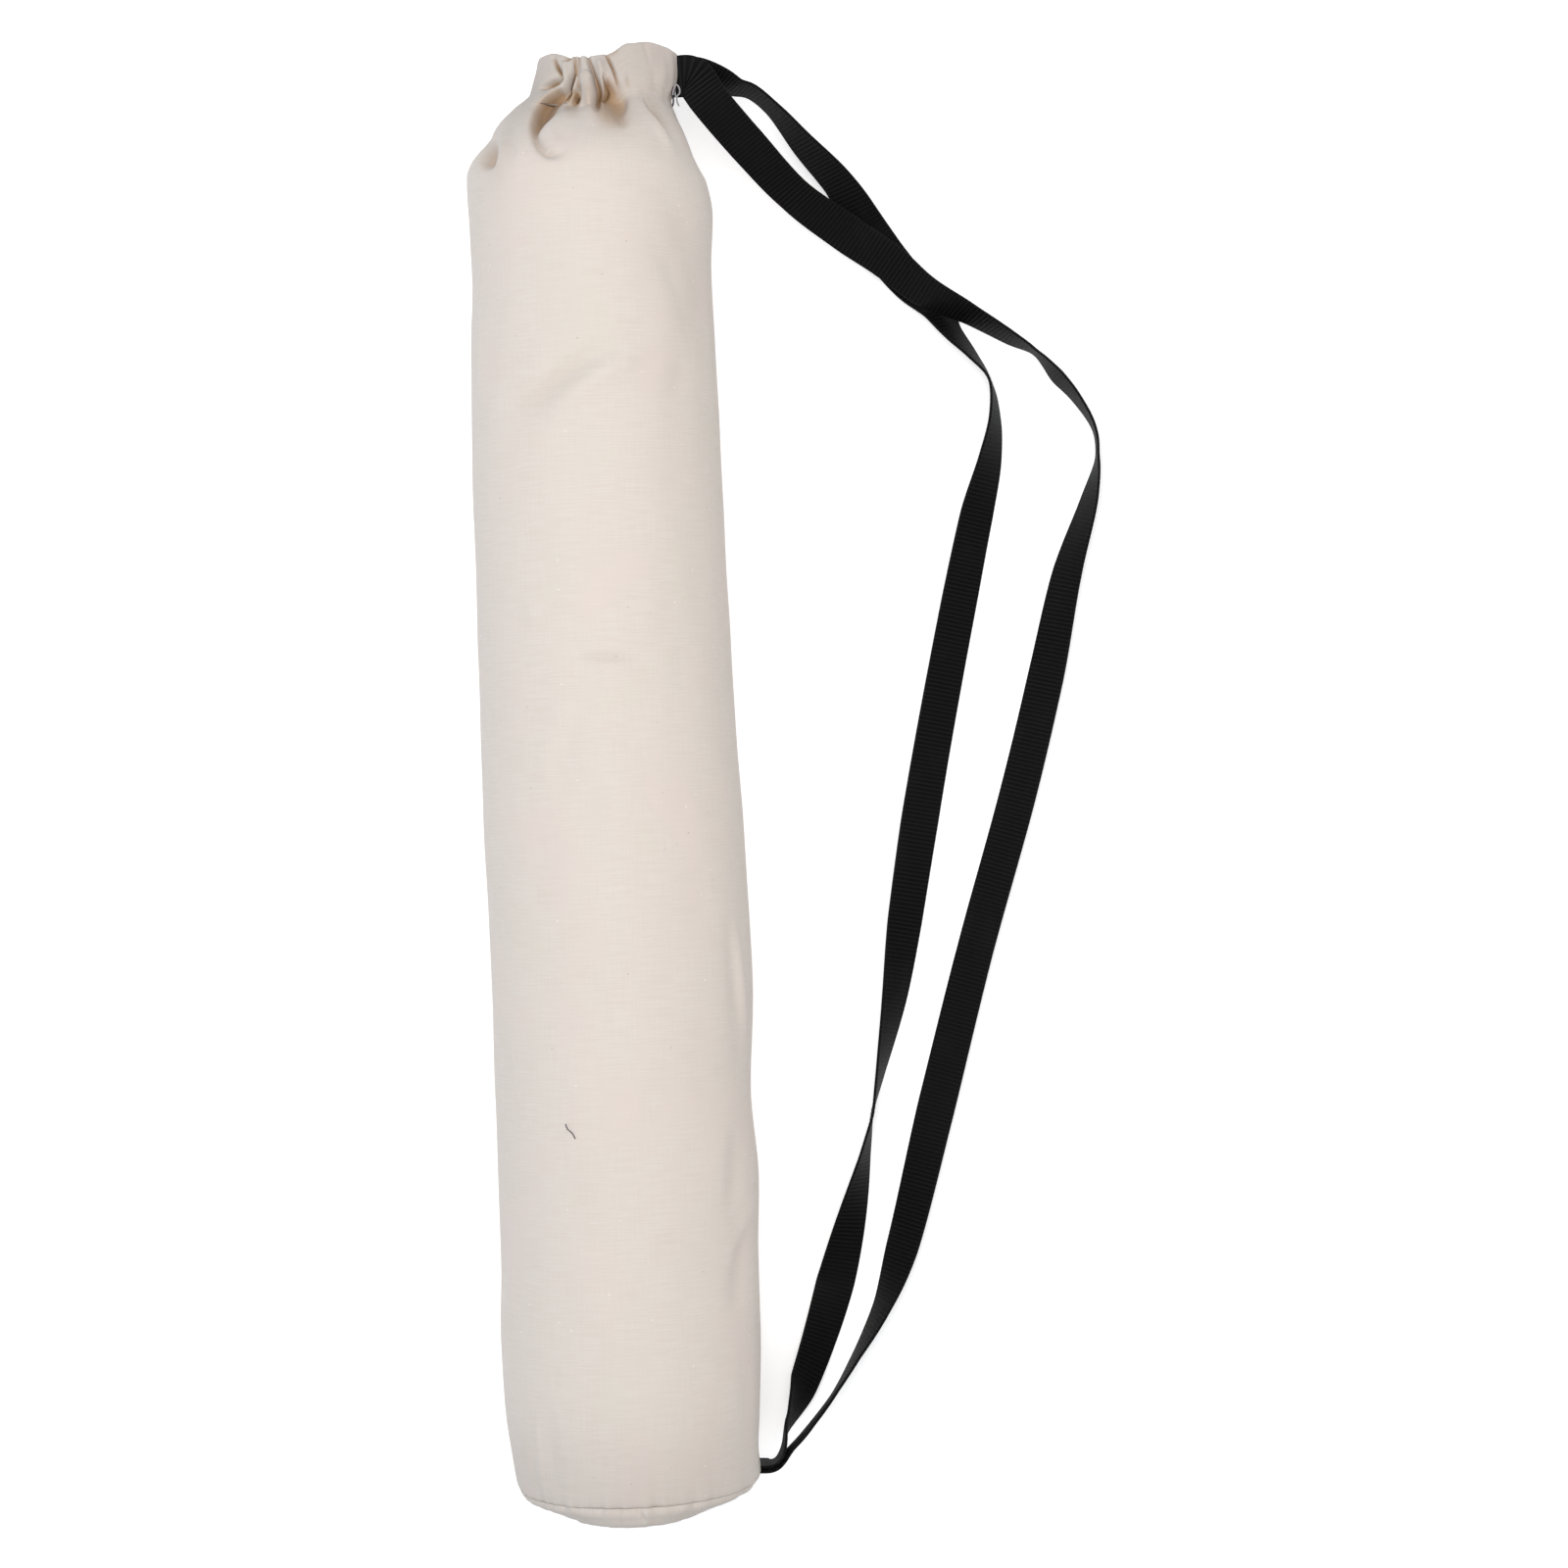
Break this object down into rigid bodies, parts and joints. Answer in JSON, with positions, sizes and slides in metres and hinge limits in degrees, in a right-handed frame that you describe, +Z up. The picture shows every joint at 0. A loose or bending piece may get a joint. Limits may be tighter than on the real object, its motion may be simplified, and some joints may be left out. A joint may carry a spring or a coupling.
{
  "type": "yoga mat bag",
  "caption": "Long cotton canvas drawstring tube bag for a rolled mat, lying on its side, with a gathered mouth and a webbing strap from mouth to base.",
  "frame": {"origin": "on the surface that the bag rests on, under the bag's axis, at the middle of the bag's length", "axes": "+Y along the bag toward its mouth, +X toward the side where the strap lies, +Z up"},
  "size_m": [0.2979, 0.6798, 0.1175],
  "materials": {
    "canvas": "unbleached plain-weave cotton canvas, matt",
    "webbing": "black ribbed webbing, slight sheen"
  },
  "bodies": {
    "root": {"bag_body": "canvas", "base_panel": "canvas", "mouth_casing": "canvas", "strap_outer_strand": "webbing", "strap_inner_strand": "webbing", "strap_casing_run": "webbing"}
  },
  "joints": []
}
